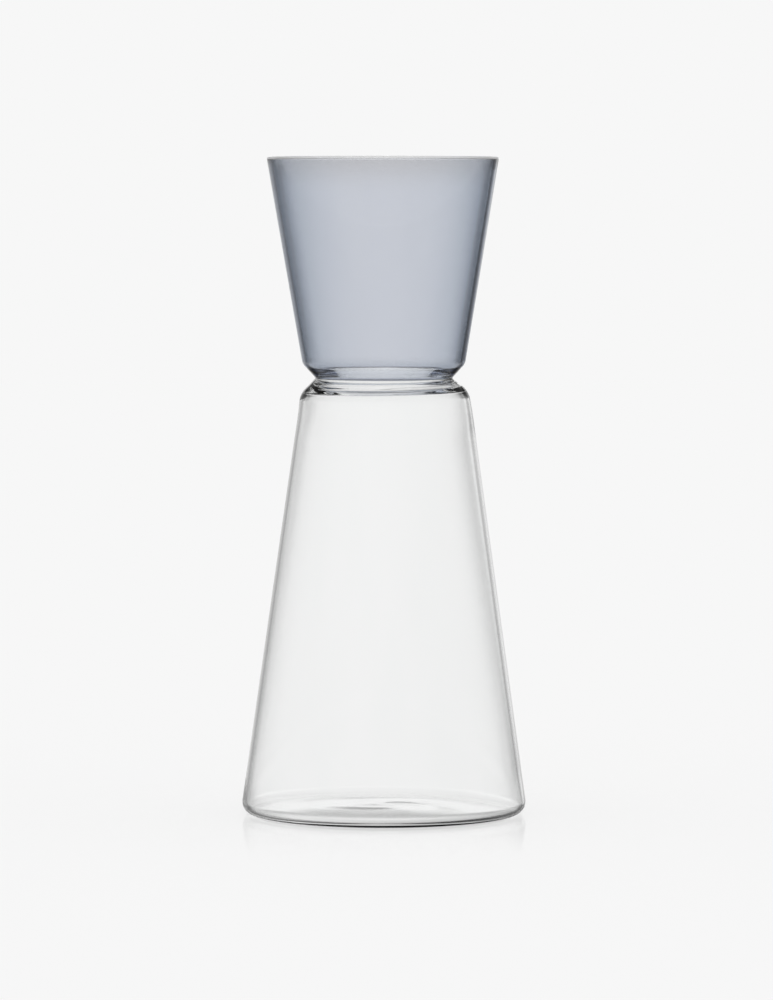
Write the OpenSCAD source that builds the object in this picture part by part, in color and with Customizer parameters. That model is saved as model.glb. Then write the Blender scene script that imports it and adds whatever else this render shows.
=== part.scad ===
// Two-tone blown glass pitcher: a smoke funnel flame-sealed on a clear body
// Millimetres, +Z up, the table at z = 0

/* [Overall] */
// Height of the rim above the table
rim_h = 279; // [250:1:310]
// Height of the flame seal above the table
seal_h = 185.4; // [165:0.1:200]

/* [Smoke funnel] */
// Outer diameter across the rim
rim_d = 98.5; // [84:0.5:112]
// Glass thickness of the cone
funnel_wall = 1.9; // [1.4:0.1:2.8]
// How far the corner at the funnel's foot stands out past the waist, on the radius
funnel_foot_out = 5.3; // [4:0.1:7]
// Height from the flame seal to that corner
funnel_foot_h = 6; // [4:0.1:9]
// Rounding of that corner
funnel_foot_round = 5.1; // [2.5:0.1:7]
// How much higher the corner of the hollow lies than the one outside
funnel_well_up = 0.2; // [0:0.1:2]
// Rounding of the hollow's corner
funnel_well_round = 3.8; // [1:0.1:6]

/* [Flame seal] */
// Outer diameter at the bottom of the waist groove
neck_d = 58.4; // [54:0.2:62]
// Glass thickness where the two pieces are fused
seal_wall = 2.4; // [1.6:0.1:3]
// Half the height of the straight bottom of the groove
seal_land = 0.2; // [0.1:0.1:0.8]
// Rounding of the groove's bottom
groove_round = 0.45; // [0.25:0.05:2]
// Height of the straight bore above the seal
bore_up = 1.7; // [0.5:0.1:3]
// Rounding where the bore opens into the funnel
bore_up_round = 1.6; // [0.5:0.1:4]
// Depth of the straight bore below the seal
bore_down = 1.2; // [0.5:0.1:3]
// Rounding where the bore opens into the body
bore_down_round = 2.2; // [0.5:0.1:4]

/* [Clear body] */
// Height of the flared collar below the seal
collar_h = 1.6; // [1:0.1:3]
// Outward flare of the collar on its radius
collar_flare = 1.4; // [0.6:0.1:2]
// Rounding where the collar turns into the shoulder
collar_round = 1.5; // [0.5:0.1:3]
// How far the corner of the shoulder stands out past the waist, on the radius
shoulder_out = 6.55; // [5:0.05:8]
// Height from the flame seal down to that corner
shoulder_drop = 5.9; // [4:0.1:7]
// Rounding of the shoulder
shoulder_round = 8.4; // [3:0.1:10]
// How much lower the corner of the hollow lies than the one outside
body_well_down = 0.4; // [0:0.1:2]
// Rounding of the hollow's corner
body_well_round = 0.8; // [0.5:0.1:6]
// Glass thickness of the cone
body_wall = 1.8; // [1.4:0.1:2.8]
// Outer diameter of the cone at the table, before its edge is rounded
base_d = 122.4; // [106:0.2:136]
// Rounding of the base's edge
base_round = 5.1; // [1:0.1:6.5]
// Width of the flat ring that stands on the table
foot_ring = 2.3; // [1.5:0.1:8]
// Rise of the base's middle inside that ring
punt_rise = 1.8; // [0.5:0.1:4]
// Glass thickness of the base
floor_t = 1.8; // [1.2:0.1:4.5]
// Rounding between the base and the cone inside
floor_round = 3.3; // [0.3:0.1:5]

/* [Hidden] */
$fn = 180;
smoke_colour = [0.36, 0.40, 0.48, 0.6];
clear_colour = [0.93, 0.95, 0.95, 0.35];
arc_steps = 8;
punt_steps = 24;
neck_r = neck_d / 2;
bore_r = neck_r - seal_wall;
lip_round = funnel_wall * 0.48;

// Corners of the outside as radius and height
rim = [rim_d / 2, rim_h];
foot = [neck_r + funnel_foot_out, seal_h + funnel_foot_h];
groove_top = [neck_r, seal_h + seal_land];
groove_low = [neck_r, seal_h - seal_land];
collar = [neck_r + collar_flare, seal_h - collar_h];
shoulder = [neck_r + shoulder_out, seal_h - shoulder_drop];
base = [base_d / 2, 0];

function unit(v) = v / norm(v);
function half_angle(a, b, c) = acos(unit(a - b) * unit(c - b)) / 2;
function round_to(p, r) = [p[0], p[1], r];

// Radius of the raised middle of the base
punt_r = base[0] - base_round / tan(half_angle(shoulder, base, [0, 0])) - foot_ring;

// A stretch of wall as seen from the hollow: a point and a direction, set in by the glass thickness
function inside(p, q, wall) = let(d = unit(q - p)) [p + wall * [d[1], -d[0]], d];

// Where such a line reaches a height
function at_height(a, z) = a[0] + a[1] * (z - a[0][1]) / a[1][1];

// One corner of an outline as an arc, held to the room that its two sides leave
function flat(p) = [p[0], p[1]];
function reach(p, i, k) = norm(flat(p[k]) - flat(p[i])) * (p[k][2] > 0 ? 0.49 : 0.98);
function corner(p, i) =
    let(b = flat(p[i]))
    p[i][2] == 0 ? [b] :
    let(u = unit(flat(p[i - 1]) - b),
        w = unit(flat(p[i + 1]) - b),
        half = half_angle(flat(p[i - 1]), b, flat(p[i + 1])),
        r = min(p[i][2], tan(half) * min(reach(p, i, i - 1), reach(p, i, i + 1))),
        c = b + unit(u + w) * r / sin(half),
        from = b + u * r / tan(half) - c,
        start = atan2(from[1], from[0]),
        sweep = sign(cross(w, u)) * (180 - 2 * half))
    [for (k = [0 : arc_steps]) let(a = start + sweep * k / arc_steps) c + r * [cos(a), sin(a)]];
function rounded(p) = [for (i = [0 : len(p) - 1]) each corner(p, i)];

// The raised middle of the base, from its edge to the axis
function punt(z) =
    [for (k = [1 : punt_steps]) let(t = 1 - k / punt_steps) [t * punt_r, z + punt_rise * (1 - t * t)]];
function reversed(list) = [for (k = [len(list) - 1 : -1 : 0]) list[k]];

module smoke_funnel() {
    cone = inside(rim, foot, funnel_wall);
    outline = [
        round_to([bore_r, seal_h], 0),
        round_to([bore_r, seal_h + bore_up], bore_up_round),
        round_to(at_height(cone, foot[1] + funnel_well_up), funnel_well_round),
        round_to(at_height(cone, rim_h), lip_round),
        round_to(rim, lip_round),
        round_to(foot, funnel_foot_round),
        round_to(groove_top, groove_round),
        round_to([neck_r, seal_h], 0)
    ];
    color(smoke_colour) rotate_extrude() polygon(rounded(outline));
}

module clear_body() {
    cone = inside(shoulder, base, body_wall);
    outside = [
        round_to([neck_r, seal_h], 0),
        round_to(groove_low, groove_round),
        round_to(collar, collar_round),
        round_to(shoulder, shoulder_round),
        round_to(base, base_round),
        round_to([punt_r, 0], 0)
    ];
    hollow = [
        round_to([punt_r, floor_t], 0),
        round_to(at_height(cone, floor_t), floor_round),
        round_to(at_height(cone, shoulder[1] - body_well_down), body_well_round),
        round_to([bore_r, seal_h - bore_down], bore_down_round),
        round_to([bore_r, seal_h], 0)
    ];
    color(clear_colour) rotate_extrude() polygon(concat(
        rounded(outside), punt(0), reversed(punt(floor_t)), rounded(hollow)));
}

smoke_funnel();
clear_body();
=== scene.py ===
"""Two-tone blown glass pitcher on a pale sweep: a smoke funnel flame-sealed on a clear body."""
from math import atan2, hypot, pi, radians, sin, tan

import bmesh
import bpy
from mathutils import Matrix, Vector


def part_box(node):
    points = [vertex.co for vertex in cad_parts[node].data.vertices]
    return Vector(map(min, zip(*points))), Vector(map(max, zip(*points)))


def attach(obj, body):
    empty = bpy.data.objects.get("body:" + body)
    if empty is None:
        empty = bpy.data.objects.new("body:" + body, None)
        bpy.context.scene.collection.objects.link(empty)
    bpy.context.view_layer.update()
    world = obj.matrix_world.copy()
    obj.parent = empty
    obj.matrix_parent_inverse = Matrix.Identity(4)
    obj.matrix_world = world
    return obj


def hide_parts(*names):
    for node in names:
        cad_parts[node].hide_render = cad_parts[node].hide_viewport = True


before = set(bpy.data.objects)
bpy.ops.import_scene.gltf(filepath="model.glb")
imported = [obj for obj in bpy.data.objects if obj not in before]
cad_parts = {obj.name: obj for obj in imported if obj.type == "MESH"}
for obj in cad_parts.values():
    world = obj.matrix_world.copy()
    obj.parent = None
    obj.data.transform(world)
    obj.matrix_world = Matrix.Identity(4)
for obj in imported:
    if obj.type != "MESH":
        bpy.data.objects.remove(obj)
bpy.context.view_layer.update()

# Lengths are metres, and MM turns a maker's millimetres into them.
MM = 0.001
DEGREES = 180 / pi

# The whole pitcher. The base is a hair under the solid's, so that the leaning body stays in its box.
funnel_low, funnel_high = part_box("smoke_funnel")
RIM_H = funnel_high[2]
SEAL_H = funnel_low[2]
RIM_R = 49.25 * MM
BASE_R = 61.14 * MM

# The smoke funnel
FUNNEL_WALL = 1.9 * MM
LIP_ROUND_SHARE = 0.48
FOOT_OUT = 5.3 * MM
FOOT_H = 6.0 * MM
FOOT_ROUND = 5.1 * MM
FUNNEL_WELL_UP = 0.2 * MM
FUNNEL_WELL_ROUND = 3.8 * MM

# The flame seal at the bottom of the waist groove
NECK_R = 29.2 * MM
SEAL_WALL = 2.4 * MM
SEAL_LAND = 0.2 * MM
GROOVE_ROUND = 0.45 * MM
BORE_R = NECK_R - SEAL_WALL
BORE_UP = 1.7 * MM
BORE_UP_ROUND = 1.6 * MM
BORE_DOWN = 1.2 * MM
BORE_DOWN_ROUND = 2.2 * MM
SEAL_GAP = 0.02 * MM

# The clear body
BODY_WALL = 1.8 * MM
COLLAR_H = 1.6 * MM
COLLAR_FLARE = 1.4 * MM
COLLAR_ROUND = 1.5 * MM
SHOULDER_OUT = 6.55 * MM
SHOULDER_DROP = 5.9 * MM
SHOULDER_ROUND = 8.4 * MM
BODY_WELL_DOWN = 0.4 * MM
BODY_WELL_ROUND = 0.8 * MM
BASE_ROUND = 5.1 * MM
FLOOR_T = 1.8 * MM
FLOOR_ROUND = 3.3 * MM
PUNT_R = 53.0 * MM
PUNT_RISE = 1.8 * MM

# The twist under the base: the turns, twist, start and strength of each wave, and how fast they rise
# from the middle
SWIRL_DEPTH = 0.035 * MM
SWIRL_WAVES = [(1, 9, 0, 1.0), (2, -6, 1, 0.7), (3, 14, 2, 0.5)]
SWIRL_RISE = 6

# What the hand made uneven: the body and the funnel lean opposite ways, the hollow lies off the middle,
# and the shoulder stands higher on one side
BODY_LEAN = 0.0035
LEAN_END = (0.5 * MM, 16 * MM)
FUNNEL_LEAN = -0.005
HOLLOW_SHIFT = -0.3 * MM
HOLLOW_START = (4 * MM, 12 * MM)
HOLLOW_END = (160 * MM, 174 * MM)
SHOULDER_TILT = 0.013
TILT_START = (0.6 * MM, 3.6 * MM)
TILT_END = (12 * MM, 30 * MM)

# How finely the glass is cut
TURN_STEPS = 256
ARC_STEPS = 12
LONG_RING = 5.0 * MM
WAIST_RING = 0.5 * MM
WAIST_REACH = 14.0 * MM
FLOOR_RING = 0.8 * MM
FLAT_SLOPE = 0.2
MERGE_WITHIN = 0.001 * MM

# The glass: how it bends light, the density of its tint over a metre, and the tones on its skin
PURE = (1, 1, 1, 1)
GLASS_IOR = 1.47
SMOKE_DENSITY = 166
SMOKE_TINT = (0.31, 0.37, 0.51, 1)
CLEAR_DENSITY = 4.0
CLEAR_TINT = (0.1, 0.16, 0.14, 1)
RIM_BAND = 17 * MM
RIM_TONE = (0.895, 0.875, 0.85, 1)
# The painted shade at the smoke glass's sides: how it follows the facing angle, and its tone
SIDE_BLEND = 0.5
PAINTED_SIDE_SHADE = (0.755, 0.815, 0.86, 1)
SMOKE_STREAK = (0.975, 0.978, 0.984, 1)
CLEAR_STREAK = (0.988, 0.992, 0.99, 1)
STREAK_SCALE = 45.0
STREAK_DETAIL = 3.0
STREAK_DRAW = 0.15
STREAK_EDGE = (0.35, 0.65)

# The ground lip: how far below the rim its satin begins and is whole
LIP_EDGE = (0.9 * MM, 0.5 * MM)
LIP_SATIN = 0.35
SATIN_IOR = 3.4

# The camera of the photograph
VIEW_DISTANCE = 2620 * MM
VIEW_HEIGHT = RIM_H + 25 * MM
VIEW_PITCH = radians(3.723)
VIEW_LENS = 222.6
VIEW_SIDE = 1.09 * MM
VIEW_REACH = 20

# How often light may bend or mirror on its way through the glass
MOST_BOUNCES = 24
MIRROR_BOUNCES = 12

# The pale sweep, where 1 is white
SWEEP_WHITE = 0.93
SWEEP_R = 4.0
SWEEP_STEPS = 96
SWEEP_DROP = 0.05 * MM
SWEEP_GLOW = 0.8
SWEEP_IOR = 1.5
GLOSS_BLUR = 0.05
GLOSS_NEAR = 62 * MM
GLOSS_FAR = 180 * MM
GLOSS_MOST = 0.5

# The painted shade where the glass meets the table, which only rays through the glass see: millimetres
# from the axis and the share of light that is lost there. It is painted in front, a little to the right.
PAINTED_CONTACT_DARK = 0.02
PAINTED_CONTACT_SHADE = [(43, 0.0), (49, 0.35), (56.7, 0.42), (57.2, 1.0), (66, 1.0), (70, 0.0)]
CONTACT_SIDE = (25 * MM, 60 * MM)
CONTACT_TURN = 0.35

# The passes through glass after which a mirrored view of that painted shade is left out
FAR_PASSES = (2, 3)

# What the glass lets through: degrees from the nearest panel and the light there. The low ring has a panel
# every 45 degrees, and the others have one on each of four sides.
LOW_SPACING = 45
LOW_PANELS = [(0, 0.93), (7, 0.88), (12, 0.4), (17, 0.12), (22.5, 0.05)]
LEVEL_LEFT = [(0, 0.93), (5, 0.9), (10, 0.82), (16, 0.5), (24, 0.42), (30, 0.42), (36, 0.3), (45, 0.2)]
LEVEL_RIGHT = [(0, 0.93), (5, 0.9), (9, 0.78), (13, 0.35), (18, 0.2), (45, 0.2)]
OVER_LEFT = [(0, 0.96), (4, 0.9), (7, 0.68), (12, 0.57), (20, 0.5), (27, 0.3), (45, 0.0)]
OVER_RIGHT = [(0, 0.96), (4, 0.9), (7, 0.76), (10, 0.6), (13, 0.57), (16, 0.8), (21, 0.95), (25, 0.35),
              (45, 0.0)]
HIGH_PANELS = [(0, 0.95), (8, 0.9), (16, 0.5), (24, 0.3), (33, 0.0), (45, 0.0)]
DARK_GAP = [(0, 0.25), (10, 0.2), (20, 0.07), (33, 0.0), (45, 0.0)]
HIGH_LAMPS = [(0, 0.78), (10, 0.62), (20, 0.23), (33, 0.0), (45, 0.0)]
CEILING = [(0, 0.0), (45, 0.0)]

# The degrees above level over which each ring of panels takes over from the one below it, and its panels
# on the left and on the right, which change over at the middle
PANEL_RINGS = [((-14, -11), LEVEL_LEFT, LEVEL_RIGHT), ((-5.5, -3.2), OVER_LEFT, OVER_RIGHT),
               ((3, 6), HIGH_PANELS, HIGH_PANELS), ((8.5, 11), DARK_GAP, DARK_GAP),
               ((13.4, 16.4), HIGH_LAMPS, HIGH_LAMPS), ((29, 36), CEILING, CEILING)]
SIDE_CHANGE = (-0.01, 0.01)

# What the glass mirrors: degrees above level and the light there, at the sides and in front
SIDE_LIGHT = [(-30, 0.46), (-16, 0.46), (-11, 0.05), (-5, 0.0), (-1, 0.75), (2, 1.0), (8, 1.05),
              (12, 0.5), (20, 0.28), (40, 0.05)]
FRONT_LIGHT = [(-30, 0.7), (-5, 0.5), (0, 0.8), (10, 0.8), (20, 0.35), (40, 0.1)]

# The degrees round from the back over which that light takes over, and over which the front begins
MIRROR_FROM = (24, 40)
FRONT_FROM = (80, 110)

# Keeps a heading straight up or down from being divided by nothing
LEAST_LEVEL = 0.001


def grey(level):
    return level, level, level, 1


class Socket:
    """A node's output, so that shader maths reads as a Python expression."""

    def __init__(self, shader, out):
        self.shader = shader
        self.out = out

    def output(self, name):
        return Socket(self.shader, self.out.outputs[name])

    def maths(self, operation, first, second):
        return self.shader.node("ShaderNodeMath", {"operation": operation}, {0: first, 1: second})

    def most(self, other):
        return self.maths("MAXIMUM", self, other)

    def least(self, other):
        return self.maths("MINIMUM", self, other)

    def degrees(self, operation):
        """Turns a sine or a cosine into degrees."""
        return self.maths(operation, self, 0.0) * DEGREES

    def between(self, start, end):
        """Rises from 0 to 1 between two values."""
        limits = {"Value": self, "From Min": start, "From Max": end}
        return self.shader.node("ShaderNodeMapRange", {}, limits)

    def towards(self, other, factor):
        """Goes over to another value."""
        return self + (other - self) * factor

    def along(self, stops):
        """Follows a list of places and levels."""
        first = stops[0][0]
        length = stops[-1][0] - first
        places = [((place - first) / length, level) for place, level in stops]
        return self.shader.node("ShaderNodeValToRGB", {"stops": places}, {0: (self - first) / length})

    def __abs__(self):
        return self.maths("ABSOLUTE", self, 0.0)

    def __pow__(self, other):
        return self.maths("POWER", self, other)

    def __truediv__(self, other):
        return self.maths("DIVIDE", self, other)

    def __add__(self, other):
        return self.maths("ADD", self, other)

    def __radd__(self, other):
        return self.maths("ADD", other, self)

    def __sub__(self, other):
        return self.maths("SUBTRACT", self, other)

    def __rsub__(self, other):
        return self.maths("SUBTRACT", other, self)

    def __mul__(self, other):
        return self.maths("MULTIPLY", self, other)

    def __rmul__(self, other):
        return self.maths("MULTIPLY", other, self)


class Shader:
    """A node tree that grows one node at a time."""

    def __init__(self, owner):
        owner.use_nodes = True
        self.tree = owner.node_tree
        self.tree.nodes.clear()

    def node(self, kind, settings, sockets, out=0):
        """Adds a node and gives back one of its outputs, or the whole node where out is None."""
        made = self.tree.nodes.new(kind)
        for name, value in settings.items():
            if name == "stops":
                for stop, (place, level) in zip(made.color_ramp.elements, value[:2]):
                    stop.position = place
                    stop.color = grey(level)
                for place, level in value[2:]:
                    made.color_ramp.elements.new(place).color = grey(level)
            else:
                setattr(made, name, value)
        for name, value in sockets.items():
            if isinstance(value, Socket):
                self.tree.links.new(value.out, made.inputs[name])
            else:
                made.inputs[name].default_value = value
        return Socket(self, made if out is None or not made.outputs else made.outputs[out])

    def place(self):
        return self.node("ShaderNodeTexCoord", {}, {}, "Object")

    def height(self):
        return self.node("ShaderNodeSeparateXYZ", {}, {0: self.place()}, "Z")

    def mix(self, factor, first, second, blend="MIX"):
        """Blends two colours."""
        kind = {"data_type": "RGBA", "blend_type": blend}
        return self.node("ShaderNodeMix", kind, {0: factor, 6: first, 7: second}, 2)

    def cover(self, factor, under, over):
        """Lays one finish over another."""
        return self.node("ShaderNodeMixShader", {}, {0: factor, 1: under, 2: over})


def set_in(start, end, wall):
    """A stretch of wall as the hollow sees it: a point and a direction, set in by the glass."""
    along = (Vector(end) - Vector(start)).normalized()
    return Vector(start) + wall * Vector((along.y, -along.x)), along


def at_height(stretch, height):
    point, along = stretch
    return point + along * (height - point.y) / along.y


def outline(corners, closed):
    """Draws half the section of a round piece: corners of radius, height and rounding."""
    section = bmesh.new()
    verts = [section.verts.new((place[0], 0, place[1])) for place, _ in corners]
    pairs = list(zip(verts, verts[1:]))
    if closed:
        pairs.append((verts[-1], verts[0]))
    for pair in pairs:
        section.edges.new(pair)
    for vert, (_, rounding) in zip(verts, corners):
        if rounding == 0:
            continue
        sides = [(edge.other_vert(vert).co - vert.co).normalized() for edge in vert.link_edges]
        half = sides[0].angle(sides[1]) / 2
        bmesh.ops.bevel(section, geom=[vert], offset=rounding / tan(half), offset_type="OFFSET",
                        segments=ARC_STEPS, profile=0.5, affect="VERTICES", material=-1)
    return section


def ring_step(start, end):
    """How far apart the rings of a stretch may lie."""
    if abs(start.z - end.z) < abs(start.x - end.x) * FLAT_SLOPE:
        return FLOOR_RING
    if max(abs(start.z - SEAL_H), abs(end.z - SEAL_H)) < WAIST_REACH:
        return WAIST_RING
    return LONG_RING


def cut_rings(section):
    """Cuts the straight stretches into short ones, so that the wall bends light evenly."""
    for edge in list(section.edges):
        cuts = int(edge.calc_length() / ring_step(*(vert.co for vert in edge.verts)))
        if cuts > 0:
            bmesh.ops.subdivide_edges(section, edges=[edge], cuts=cuts)


def turned(name, section):
    """Turns a section into a closed glass piece."""
    cut_rings(section)
    bmesh.ops.spin(section, geom=section.verts[:] + section.edges[:], cent=(0, 0, 0), axis=(0, 0, 1),
                   dvec=(0, 0, 0), angle=2 * pi, steps=TURN_STEPS, use_merge=True, use_duplicate=False)
    bmesh.ops.remove_doubles(section, verts=section.verts[:], dist=MERGE_WITHIN)
    bmesh.ops.recalc_face_normals(section, faces=section.faces[:])
    for face in section.faces:
        face.smooth = True
    return placed(name, section)


def placed(name, shape):
    """Puts a finished shape into the scene as an object at the origin."""
    mesh = bpy.data.meshes.new(name)
    shape.to_mesh(mesh)
    shape.free()
    piece = bpy.data.objects.new(name, mesh)
    bpy.context.scene.collection.objects.link(piece)
    return piece


def share(value, start, end):
    """Rises from 0 to 1 between two values."""
    return min(max((value - start) / (end - start), 0), 1)


def swirl(reach, turn):
    """Faint waves that the twist off the iron leaves under the base."""
    waves = sum(strength * sin(turns * turn + twist * reach + start)
                for turns, twist, start, strength in SWIRL_WAVES)
    return SWIRL_DEPTH * waves * min(1, SWIRL_RISE * reach) * (1 - reach ** 2) ** 2


def raise_base(vert):
    """Lifts the middle of the base off the table, with the waves of the twist under it."""
    reach = hypot(vert.co.x, vert.co.y) / PUNT_R
    if reach >= 1 or vert.co.z >= 2 * FLOOR_T:
        return
    if vert.co.z < FLOOR_T / 2:
        vert.co.z += swirl(reach, atan2(vert.co.y, vert.co.x))
    vert.co.z += PUNT_RISE * (1 - reach ** 2)


def smoke_funnel():
    low = SEAL_H + SEAL_GAP / 2
    rim = (RIM_R, RIM_H)
    foot = (NECK_R + FOOT_OUT, SEAL_H + FOOT_H)
    groove = (NECK_R, SEAL_H + SEAL_LAND)
    cone = set_in(rim, foot, FUNNEL_WALL)
    lip_round = FUNNEL_WALL * LIP_ROUND_SHARE
    piece = turned("smoke_funnel_glass", outline([
        ((BORE_R, low), 0),
        ((BORE_R, SEAL_H + BORE_UP), BORE_UP_ROUND),
        (at_height(cone, foot[1] + FUNNEL_WELL_UP), FUNNEL_WELL_ROUND),
        (at_height(cone, RIM_H), lip_round),
        (rim, lip_round),
        (foot, FOOT_ROUND),
        (groove, GROOVE_ROUND),
        ((NECK_R, low), 0),
    ], closed=True))
    for vert in piece.data.vertices:
        vert.co.x += FUNNEL_LEAN * (vert.co.z - SEAL_H)
    return piece


def clear_body():
    high = SEAL_H - SEAL_GAP / 2
    groove = (NECK_R, SEAL_H - SEAL_LAND)
    collar = (NECK_R + COLLAR_FLARE, SEAL_H - COLLAR_H)
    shoulder = (NECK_R + SHOULDER_OUT, SEAL_H - SHOULDER_DROP)
    base = (BASE_R, 0)
    cone = set_in(shoulder, base, BODY_WALL)
    piece = turned("clear_body_glass", outline([
        ((0, FLOOR_T), 0),
        (at_height(cone, FLOOR_T), FLOOR_ROUND),
        (at_height(cone, shoulder[1] - BODY_WELL_DOWN), BODY_WELL_ROUND),
        ((BORE_R, SEAL_H - BORE_DOWN), BORE_DOWN_ROUND),
        ((BORE_R, high), 0),
        ((NECK_R, high), 0),
        (groove, GROOVE_ROUND),
        (collar, COLLAR_ROUND),
        (shoulder, SHOULDER_ROUND),
        (base, BASE_ROUND),
        ((0, 0), 0),
    ], closed=False))
    hollow = [vert.normal.x * vert.co.x + vert.normal.y * vert.co.y < 0 for vert in piece.data.vertices]
    for vert in piece.data.vertices:
        below = SEAL_H - vert.co.z
        if hollow[vert.index]:
            off_middle = share(vert.co.z, *HOLLOW_START) * (1 - share(vert.co.z, *HOLLOW_END))
            vert.co.x += HOLLOW_SHIFT * off_middle
        vert.co.z += SHOULDER_TILT * vert.co.x * share(below, *TILT_START) * (1 - share(below, *TILT_END))
        raise_base(vert)
        vert.co.x += BODY_LEAN * vert.co.z * share(below, *LEAN_END)
    return piece


def streaks(shader, tone):
    """Faint upright streaks that the blowing drew out in the glass."""
    drawn = shader.node("ShaderNodeMapping", {}, {"Vector": shader.place(), "Scale": (1, 1, STREAK_DRAW)})
    cloud = shader.node("ShaderNodeTexNoise", {}, {
        "Vector": drawn, "Scale": STREAK_SCALE, "Detail": STREAK_DETAIL})
    return shader.mix(cloud.between(*STREAK_EDGE), PURE, tone)


def smoke_tone(shader):
    """Streaked, greyer under the rim, and with painted shade at the sides, where the glass is seen edge-on.
    """
    rim = shader.height().between(RIM_H - RIM_BAND, RIM_H) ** 2.0
    # Painted shade: darker where the surface is seen edge-on
    painted_side_shade = shader.node("ShaderNodeLayerWeight", {}, {"Blend": SIDE_BLEND}, "Facing")
    upright = shader.mix(rim, streaks(shader, SMOKE_STREAK), RIM_TONE)
    return shader.mix(painted_side_shade, upright, PAINTED_SIDE_SHADE, "MULTIPLY")


def clear_tone(shader):
    return streaks(shader, CLEAR_STREAK)


def ground_lip(shader):
    """The lip was ground before its fire polish, and stays a little satin."""
    start, end = LIP_EDGE
    return shader.height().between(RIM_H - start, RIM_H - end)


def nothing_ground(shader):
    return 0.0


def glass(name, density, tint, tone, ground):
    """Fire-polished glass, tinted by how far the light runs in it, and satin where it was ground."""
    made = bpy.data.materials.new(name)
    shader = Shader(made)
    satin = ground(shader)
    surface = shader.node("ShaderNodeBsdfPrincipled", {}, {
        "Base Color": tone(shader), "Roughness": LIP_SATIN * satin,
        "IOR": GLASS_IOR, "Transmission Weight": 1.0,
        "Coat Weight": satin, "Coat Roughness": LIP_SATIN, "Coat IOR": SATIN_IOR})
    depth = shader.node("ShaderNodeVolumeAbsorption", {}, {"Color": tint, "Density": density})
    shader.node("ShaderNodeOutputMaterial", {}, {"Surface": surface, "Volume": depth})
    return made


def pale_sweep():
    """White to the eye, with a trace of the pitcher's shadow, painted shade by its base, and a mirror image
    fading away from it.
    """
    made = bpy.data.materials.new("pale_sweep")
    shader = Shader(made)
    path = shader.node("ShaderNodeLightPath", {}, {}, None)
    camera_ray = path.output("Is Camera Ray")
    parts = shader.node("ShaderNodeSeparateXYZ", {}, {0: shader.place()}, None)
    x, y = parts.output("X"), parts.output("Y")
    radius = (x * x + y * y) ** 0.5

    matt = shader.node("ShaderNodeBsdfDiffuse", {}, {"Color": grey(SWEEP_WHITE)})
    lit = shader.node("ShaderNodeEmission", {}, {"Color": grey(SWEEP_WHITE), "Strength": 1.0})
    gloss = shader.node("ShaderNodeBsdfGlossy", {}, {"Color": PURE, "Roughness": GLOSS_BLUR})
    grazing = shader.node("ShaderNodeFresnel", {}, {"IOR": SWEEP_IOR})
    near = 1 - radius.between(GLOSS_NEAR, GLOSS_FAR)
    shine = (GLOSS_MOST * grazing * near * near * camera_ray).least(1.0)
    seen_straight = shader.cover(shine, shader.cover(SWEEP_GLOW * camera_ray, matt, lit), gloss)

    clear = shader.node("ShaderNodeBsdfTransparent", {}, {"Color": PURE})
    # Painted shade: a dark ring on the floor where the glass meets it, seen only through the glass
    dark = shader.node("ShaderNodeBsdfDiffuse", {}, {"Color": grey(PAINTED_CONTACT_DARK)})
    painted_contact_shade = (radius / MM).along(PAINTED_CONTACT_SHADE) * (CONTACT_TURN * x - y).between(*CONTACT_SIDE)
    passes = path.output("Transmission Depth").between(*FAR_PASSES)
    far_image = path.output("Glossy Depth").least(1.0) * passes
    seen_through_glass = shader.cover(painted_contact_shade * (1 - far_image), clear, dark)

    through = path.output("Is Singular Ray") * (1 - camera_ray)
    surface = shader.cover(through, seen_straight, seen_through_glass)
    shader.node("ShaderNodeOutputMaterial", {}, {"Surface": surface})
    return made


def floor():
    sheet = bmesh.new()
    bmesh.ops.create_circle(sheet, cap_ends=True, segments=SWEEP_STEPS, radius=SWEEP_R)
    plane = placed("floor", sheet)
    plane.location.z = -SWEEP_DROP
    plane.data.materials.append(pale_sweep())


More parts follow.
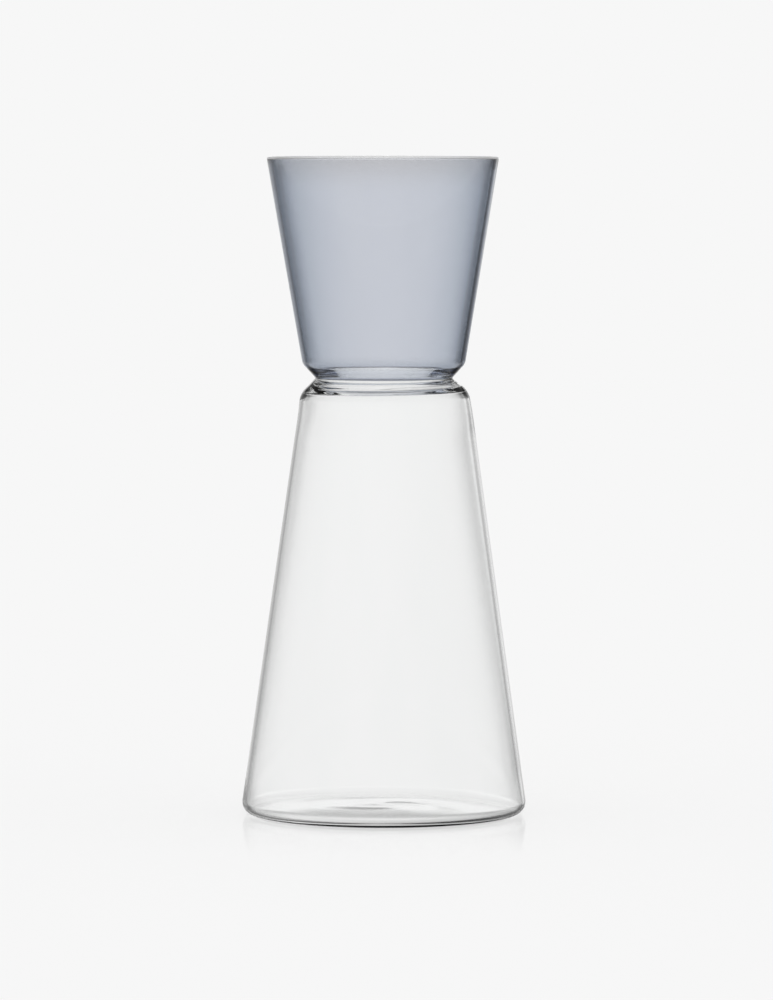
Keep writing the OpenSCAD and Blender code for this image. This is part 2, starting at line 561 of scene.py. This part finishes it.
def studio_light():
    """Soft white from all round, and for the glass alone rings of white panels with dark between them."""
    world = bpy.data.worlds.new("studio")
    bpy.context.scene.world = world
    shader = Shader(world)
    heading = shader.node("ShaderNodeTexCoord", {}, {}, "Generated")
    parts = shader.node("ShaderNodeSeparateXYZ", {}, {0: heading}, None)
    x, y, z = parts.output("X"), parts.output("Y"), parts.output("Z")
    level = ((x * x + y * y) ** 0.5).most(LEAST_LEVEL)
    turn = (abs(x).most(abs(y)) / level).least(1.0).degrees("ARCCOSINE")
    away = (y / level).most(-1.0).least(1.0).degrees("ARCCOSINE")
    height = z.degrees("ARCSINE")

    panels = turn.least(LOW_SPACING - turn).along(LOW_PANELS)
    right_side = x.between(*SIDE_CHANGE)
    for (start, end), left, right in PANEL_RINGS:
        ring = turn.along(left).towards(turn.along(right), right_side)
        panels = panels.towards(ring, height.between(start, end))
    path = shader.node("ShaderNodeLightPath", {}, {}, None)
    mirrored = height.along(SIDE_LIGHT).towards(height.along(FRONT_LIGHT), away.between(*FRONT_FROM))
    room = panels.towards(mirrored, away.between(*MIRROR_FROM) * path.output("Glossy Depth").least(1.0))

    studio = shader.node("ShaderNodeBackground", {}, {"Color": PURE, "Strength": room})
    white = shader.node("ShaderNodeBackground", {}, {"Color": PURE, "Strength": 1.0})
    seen = shader.node("ShaderNodeBackground", {}, {"Color": PURE, "Strength": SWEEP_WHITE})
    camera_ray = path.output("Is Camera Ray")
    plain = shader.cover(camera_ray.most(path.output("Is Glossy Ray")), white, seen)
    bent = path.output("Is Singular Ray") * (1 - camera_ray)
    shader.node("ShaderNodeOutputWorld", {}, {"Surface": shader.cover(bent, plain, studio)})


def camera():
    lens = bpy.data.cameras.new("camera")
    lens.lens = VIEW_LENS
    lens.clip_end = VIEW_REACH
    view = bpy.data.objects.new("camera", lens)
    view.location = (VIEW_SIDE, -VIEW_DISTANCE, VIEW_HEIGHT)
    view.rotation_euler = (pi / 2 - VIEW_PITCH, 0, 0)
    bpy.context.scene.collection.objects.link(view)
    bpy.context.scene.camera = view


def dress(piece, node, finish):
    piece.data.materials.append(finish)
    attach(piece, "root")
    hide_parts(node)


camera()
studio_light()
floor()
smoke_glass = glass("smoke_glass", SMOKE_DENSITY, SMOKE_TINT, smoke_tone, ground_lip)
clear_glass = glass("clear_glass", CLEAR_DENSITY, CLEAR_TINT, clear_tone, nothing_ground)
dress(smoke_funnel(), "smoke_funnel", smoke_glass)
dress(clear_body(), "clear_body", clear_glass)

scene = bpy.context.scene
scene.view_settings.view_transform = "Standard"
scene.cycles.max_bounces = MOST_BOUNCES
scene.cycles.transmission_bounces = MOST_BOUNCES
scene.cycles.glossy_bounces = MIRROR_BOUNCES
